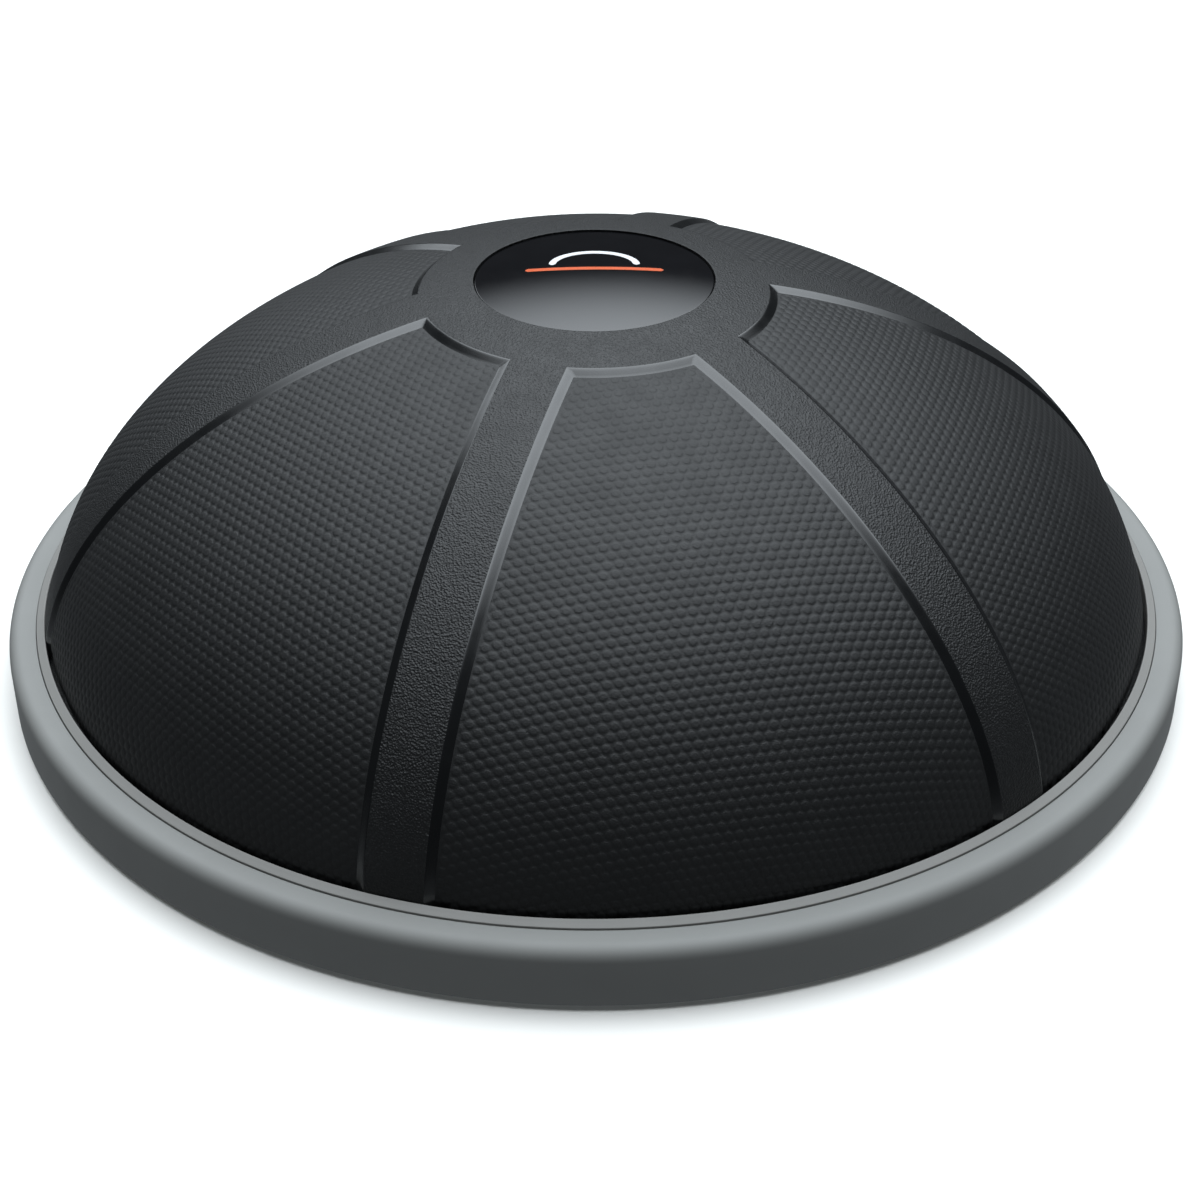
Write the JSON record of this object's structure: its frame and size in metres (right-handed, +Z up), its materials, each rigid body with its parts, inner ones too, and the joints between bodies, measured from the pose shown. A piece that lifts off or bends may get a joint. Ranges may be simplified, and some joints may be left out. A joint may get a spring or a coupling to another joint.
{
  "type": "balance dome trainer",
  "caption": "Inflated half-ball dome with textured panels, clamped on a round rigid platform with rubber feet, hand recesses and an air valve underneath.",
  "frame": {"origin": "centre of the platform, on the surface that the rubber feet stand on", "axes": "+Z up through the crown of the dome; -Y is the front, which the badge faces; the hand recesses lie along X"},
  "size_m": [0.5899, 0.59, 0.1958],
  "materials": {
    "dome_pvc": "satin charcoal PVC, fine leather grain and moulded bumps",
    "membrane_pvc": "satin",
    "badge_gloss": "high gloss",
    "foam": "closed-cell foam",
    "ring_plastic": "fine moulded texture",
    "rim_plastic": "fine moulded texture",
    "base_plastic": "plain moulded",
    "cover_plastic": "fine moulded texture with grip grooves",
    "screw_steel": "zinc plated",
    "grip_rubber": "matt",
    "foot_rubber": "matt",
    "valve_rubber": "satin",
    "plug_plastic": "satin"
  },
  "bodies": {
    "trainer": {"dome_skin": "dome_pvc", "dome_membrane": "membrane_pvc", "badge": "badge_gloss", "badge_pad": "foam", "clamp_ring": "ring_plastic", "clamp_screws": "screw_steel", "platform_rim": "rim_plastic", "platform_base": "base_plastic", "bottom_cover": "cover_plastic", "rim_screws": "screw_steel", "cover_screws": "screw_steel", "grip_liner_left": "grip_rubber", "grip_liner_right": "grip_rubber", "valve_body": "valve_rubber", "foot_1": "foot_rubber", "foot_2": "foot_rubber", "foot_3": "foot_rubber", "foot_4": "foot_rubber", "foot_5": "foot_rubber", "foot_6": "foot_rubber", "foot_7": "foot_rubber", "foot_8": "foot_rubber"},
    "plug": {"valve_plug": "plug_plastic"}
  },
  "joints": [
    {"name": "plug_pull", "type": "slide", "parent": "trainer", "child": "plug", "axis": [0, 0, -1], "range_m": [0, 0.018]}
  ]
}
